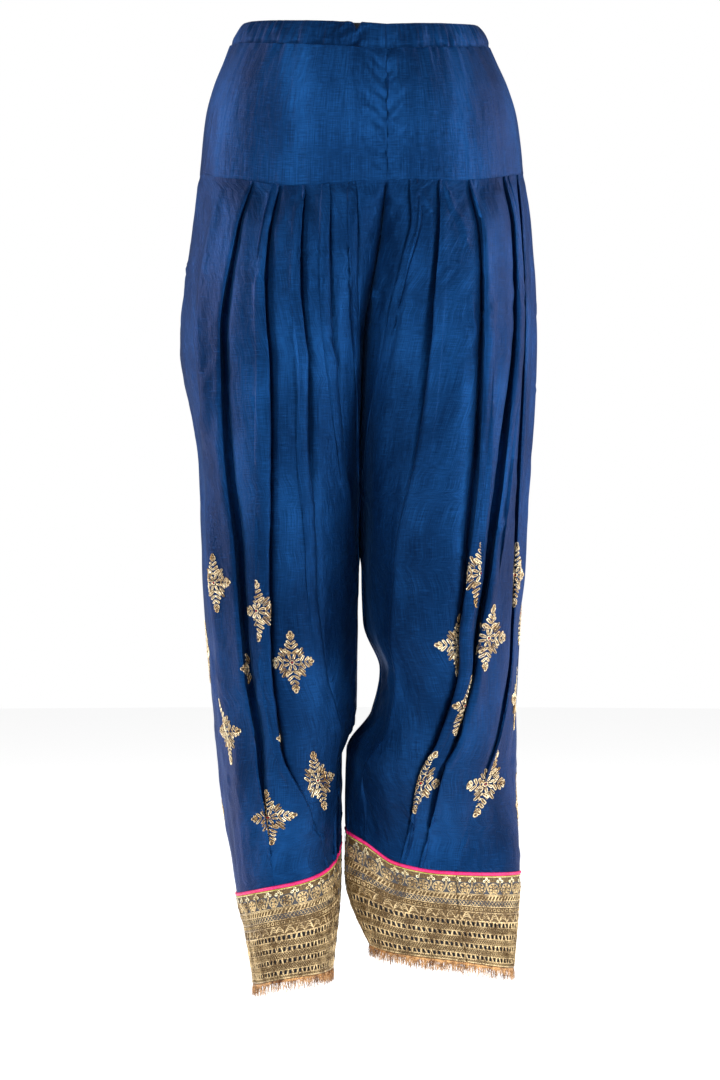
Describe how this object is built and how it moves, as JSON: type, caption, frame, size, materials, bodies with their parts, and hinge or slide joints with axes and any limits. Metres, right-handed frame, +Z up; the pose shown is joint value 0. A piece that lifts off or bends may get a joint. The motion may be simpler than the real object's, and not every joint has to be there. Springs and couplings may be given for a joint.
{
  "type": "salwar trousers",
  "caption": "Loose salwar trousers: gathered waist casing, smooth hip yoke, knife-pleated legs with raised star motifs, and piped lace hem bands with fringe.",
  "frame": {"origin": "centre of the waist opening, inside the gathered casing", "axes": "+Z up along the body, -Y the front, +X towards the wearer's left"},
  "size_m": [0.3509, 0.2973, 0.9726],
  "materials": {
    "blue_silk": "slubby royal-blue silk with a satin sheen",
    "gold_lace": "woven beige-gold metallic lace trim",
    "magenta_piping": "satin-covered piping cord",
    "copper_fringe": "reddish-gold metallic thread fringe",
    "gold_embroidery": "raised metallic zardozi embroidery"
  },
  "bodies": {
    "root": {"waist_casing": "blue_silk", "yoke_right": "blue_silk", "kunda_front_right": "blue_silk", "side_panel_right": "blue_silk", "kunda_back_right": "blue_silk", "hem_piping_right": "magenta_piping", "lace_band_right": "gold_lace", "hem_fringe_right": "copper_fringe", "motif_right_01": "gold_embroidery", "motif_right_02": "gold_embroidery", "motif_right_03": "gold_embroidery", "motif_right_04": "gold_embroidery", "motif_right_05": "gold_embroidery", "motif_right_06": "gold_embroidery", "motif_right_07": "gold_embroidery", "motif_right_08": "gold_embroidery", "motif_right_09": "gold_embroidery", "motif_right_10": "gold_embroidery", "motif_right_11": "gold_embroidery", "motif_right_12": "gold_embroidery", "motif_right_13": "gold_embroidery", "motif_right_14": "gold_embroidery", "yoke_left": "blue_silk", "kunda_front_left": "blue_silk", "side_panel_left": "blue_silk", "kunda_back_left": "blue_silk", "hem_piping_left": "magenta_piping", "lace_band_left": "gold_lace", "hem_fringe_left": "copper_fringe", "motif_left_01": "gold_embroidery", "motif_left_02": "gold_embroidery", "motif_left_03": "gold_embroidery", "motif_left_04": "gold_embroidery", "motif_left_05": "gold_embroidery", "motif_left_06": "gold_embroidery", "motif_left_07": "gold_embroidery", "motif_left_08": "gold_embroidery", "motif_left_09": "gold_embroidery", "motif_left_10": "gold_embroidery", "motif_left_11": "gold_embroidery", "motif_left_12": "gold_embroidery", "motif_left_13": "gold_embroidery", "motif_left_14": "gold_embroidery"}
  },
  "joints": []
}
